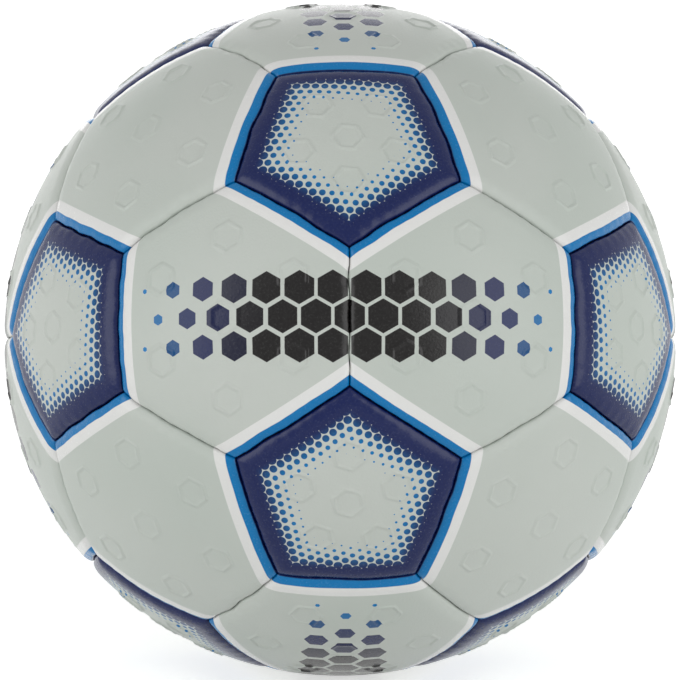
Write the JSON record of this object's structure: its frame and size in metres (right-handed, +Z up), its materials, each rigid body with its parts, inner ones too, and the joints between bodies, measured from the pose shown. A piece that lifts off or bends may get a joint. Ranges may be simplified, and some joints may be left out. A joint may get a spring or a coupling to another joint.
{
  "type": "handball",
  "caption": "Soft handball with a sewn casing of five-sided and six-sided panels, round an air bladder with a needle valve.",
  "frame": {"origin": "middle of the ball", "axes": "+Z up from the flat of the panel that the ball stands on, +X along the line through the middles of two opposite seams, -Y towards the side shown in the picture"},
  "size_m": [0.1872, 0.1878, 0.1873],
  "materials": {
    "cover": "satin, fine grain",
    "thread": "waxed",
    "bladder": "matte",
    "patch": "plain weave",
    "boot": "matte",
    "core": "matte"
  },
  "bodies": {
    "root": {"pentagon_panel_01": "cover", "pentagon_panel_02": "cover", "pentagon_panel_03": "cover", "pentagon_panel_04": "cover", "pentagon_panel_05": "cover", "pentagon_panel_06": "cover", "pentagon_panel_07": "cover", "pentagon_panel_08": "cover", "pentagon_panel_09": "cover", "pentagon_panel_10": "cover", "pentagon_panel_11": "cover", "pentagon_panel_12": "cover", "hexagon_panel_01": "cover", "hexagon_panel_02": "cover", "hexagon_panel_03": "cover", "hexagon_panel_04": "cover", "hexagon_panel_05": "cover", "hexagon_panel_06": "cover", "hexagon_panel_07": "cover", "hexagon_panel_08": "cover", "hexagon_panel_09": "cover", "hexagon_panel_10": "cover", "hexagon_panel_11": "cover", "hexagon_panel_12": "cover", "hexagon_panel_13": "cover", "hexagon_panel_14": "cover", "hexagon_panel_15": "cover", "hexagon_panel_16": "cover", "hexagon_panel_17": "cover", "hexagon_panel_18": "cover", "valve_panel": "cover", "seat_panel": "cover", "seam_thread": "thread", "bladder": "bladder", "valve_patch": "patch", "valve_boot": "boot", "valve_core": "core"}
  },
  "joints": []
}
